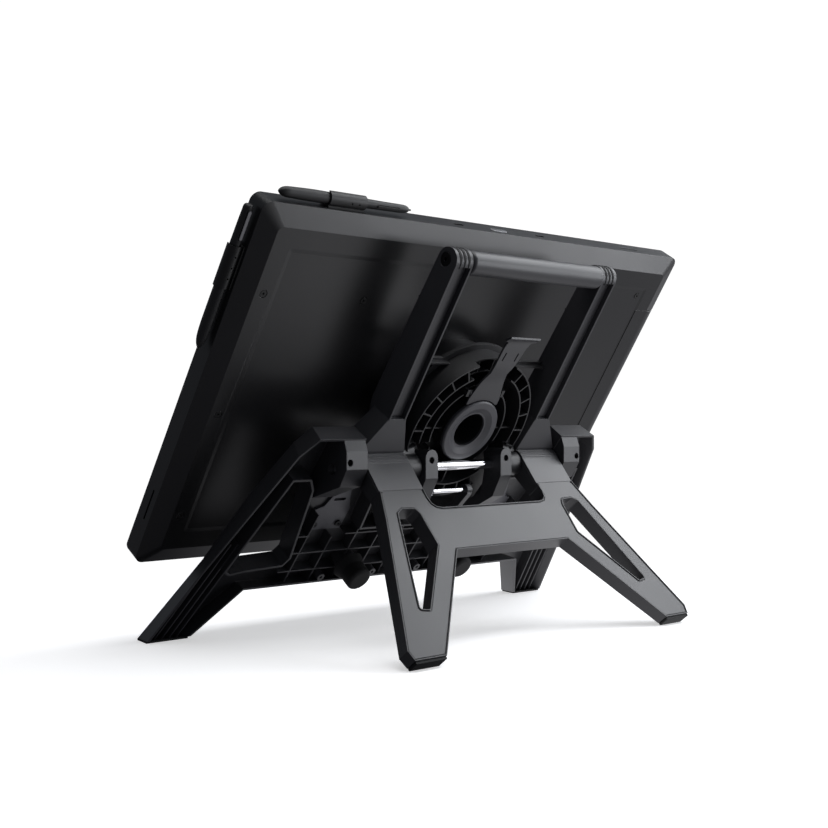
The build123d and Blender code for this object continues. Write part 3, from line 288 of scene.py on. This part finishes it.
def make_materials():
    return {
        # Each paint's wear setting also sets how much painted highlight its edges get.
        "casing": surface("casing_plastic", grey(0.011, 1.1), 0.34, grain_depth=0.05, coat=0.1),
        "frame": surface("stand_plastic", grey(0.032, 1.10), 0.40, grain_depth=0.10,
                         edge=0.0010, wear_and_highlight=0.5),
        "arm": surface("arm_plastic", grey(0.045, 1.1), 0.40, grain_depth=0.07,
                       edge=0.0009, wear_and_highlight=0.45),
        "dark": surface("dark_plastic", grey(0.007), 0.45, grain_depth=0.08),
        "carrier": surface("carrier_plastic", grey(0.016, 1.1), 0.42, grain_depth=0.08,
                           edge=0.0006, wear_and_highlight=0.9),
        "hub": surface("hub_plastic", grey(0.075, 1.1), 0.44, grain_depth=0.12, edge=0.0012),
        "chrome": surface("polished_steel", (0.86, 0.86, 0.88), 0.07, metallic=1.0, grain=500,
                          grain_depth=0.02, variation=0.03, wear_and_highlight=0.1, stretch=(0.02, 1, 1)),
        "steel": surface("plain_steel", (0.30, 0.30, 0.31), 0.32, metallic=1.0, grain=900,
                         grain_depth=0.06, variation=0.12, wear_and_highlight=0.4, stretch=(0.08, 1, 1)),
        "black_steel": surface("black_steel", grey(0.035), 0.33, metallic=0.8, grain=1500,
                               grain_depth=0.06),
        "bracket": surface("bracket_plate", grey(0.10, 1.1), 0.38, metallic=0.35,
                           grain_depth=0.08, wear_and_highlight=0.6),
        "rubber": surface("rubber", grey(0.009), 0.72, grain=1800, grain_depth=0.25,
                          specular=0.3),
        "glass": surface("etched_glass", grey(0.004), 0.16, grain=4200, grain_depth=0.02,
                         variation=0.1, coat=0.3, edge=0.0004),
        "pen": surface("soft_pen", grey(0.018), 0.50, grain=3200, grain_depth=0.10,
                       specular=0.4),
        "silver": surface("silver_trim", (0.16, 0.16, 0.17), 0.34, metallic=1.0, grain=1200,
                          grain_depth=0.04),
        "panel": surface("panel_film", grey(0.006), 0.2, coat=0.4),
        "sheet": surface("rolled_sheet", (0.6, 0.6, 0.62), 0.33, metallic=1.0, grain=700,
                         stretch=(0.05, 1, 1)),
        "board": surface("circuit_board", (0.006, 0.03, 0.02), 0.4, grain=1400,
                         grain_depth=0.15),
    }


PAINT_OF = {
    "casing": ["back_shell", "port_cover", "turntable_drum"],
    "frame": ["front_frame", "rear_frame"],
    "arm": ["right_arm", "left_arm", "right_arm_insert", "left_arm_insert", "handle_tube",
            "hinge_caps", "release_lever"],
    "hub": ["hub_ring"],
    "carrier": ["ring_carrier"],
    "dark": ["slide_ring", "top_pen_holder", "side_pen_holder", "top_pen_switch", "top_pen_nib",
             "side_pen_nib", "friction_washers", "back_screws"],
    "steel": ["lever_pin", "rod_clips", "turntable_screws", "side_connectors", "power_button"],
    "bracket": ["right_bracket", "left_bracket"],
    "chrome": ["hinge_shaft", "tie_rod"],
    "rubber": ["front_feet", "rear_feet", "bumpers"],
    "glass": ["cover_glass"],
    "panel": ["lcd_panel"],
    "sheet": ["chassis_plate", "backlight_unit"],
    "board": ["main_board", "digitizer_board"],
    "black_steel": ["bracket_screws", "handle_bolts", "shoulder_screws"],
    "pen": ["top_pen_barrel", "side_pen_barrel"],
    "silver": ["side_pen_switch"],
}


def paint_nodes(paints):
    for paint, nodes in PAINT_OF.items():
        for node in nodes:
            slots = NODES[node].data.materials
            slots.clear()
            slots.append(paints[paint])


# ---------------------------------------------------------------- painted shade in the slots over the arms' round tops
def add_arm_slot_shade(name, outward, paint):
    """Three tapering slots that run over the round top of one arm, drawn as thin black sheets:
    painted shade where the gaps are.
    """
    maker = bmesh.new()
    for middle in ARM_SLOT_MIDDLES:
        rows = []
        for step in range(ARM_SLOT_STEPS + 1):
            angle = math.radians(ARM_SLOT_FROM + ARM_SLOT_SWEEP * step / ARM_SLOT_STEPS)
            half = ARM_SLOT_HALF_WIDTH * min(1, (step + TIP_STEPS) / TAPER_STEPS)
            up = ARM_TOP_UP + ARM_TOP_RADIUS * math.sin(angle)
            behind = ARM_TOP_BEHIND + ARM_TOP_RADIUS * math.cos(angle)
            centre = GLASS_CENTRE + UP_DISPLAY * up + BEHIND * behind
            rows.append([maker.verts.new(centre + Vector((outward * middle + edge * half, 0, 0)))
                         for edge in (-1, 1)])
        for low, high in zip(rows, rows[1:]):
            maker.faces.new((low[0], low[1], high[1], high[0]))
    bmesh.ops.recalc_face_normals(maker, faces=maker.faces)
    mesh = bpy.data.meshes.new(name)
    maker.to_mesh(mesh)
    maker.free()
    piece = bpy.data.objects.new(name, mesh)
    bpy.context.collection.objects.link(piece)
    body = piece.modifiers.new("thickness", "SOLIDIFY")
    body.thickness = SHADE_SHEET_THICKNESS
    body.offset = 0
    mesh.materials.append(paint)
    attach(piece, "head")


# ---------------------------------------------------------------- the scene
bpy.context.scene.view_settings.view_transform = "Standard"
add_camera()
add_world()
add_floor()
for area_light in AREA_LIGHTS:
    add_area_light(*area_light)
paints = make_materials()
paint_nodes(paints)
# The slot sheets use the black rubber paint as painted shade inside the slots.
add_arm_slot_shade("right_arm_slot_shade", 1, paints["rubber"])
add_arm_slot_shade("left_arm_slot_shade", -1, paints["rubber"])
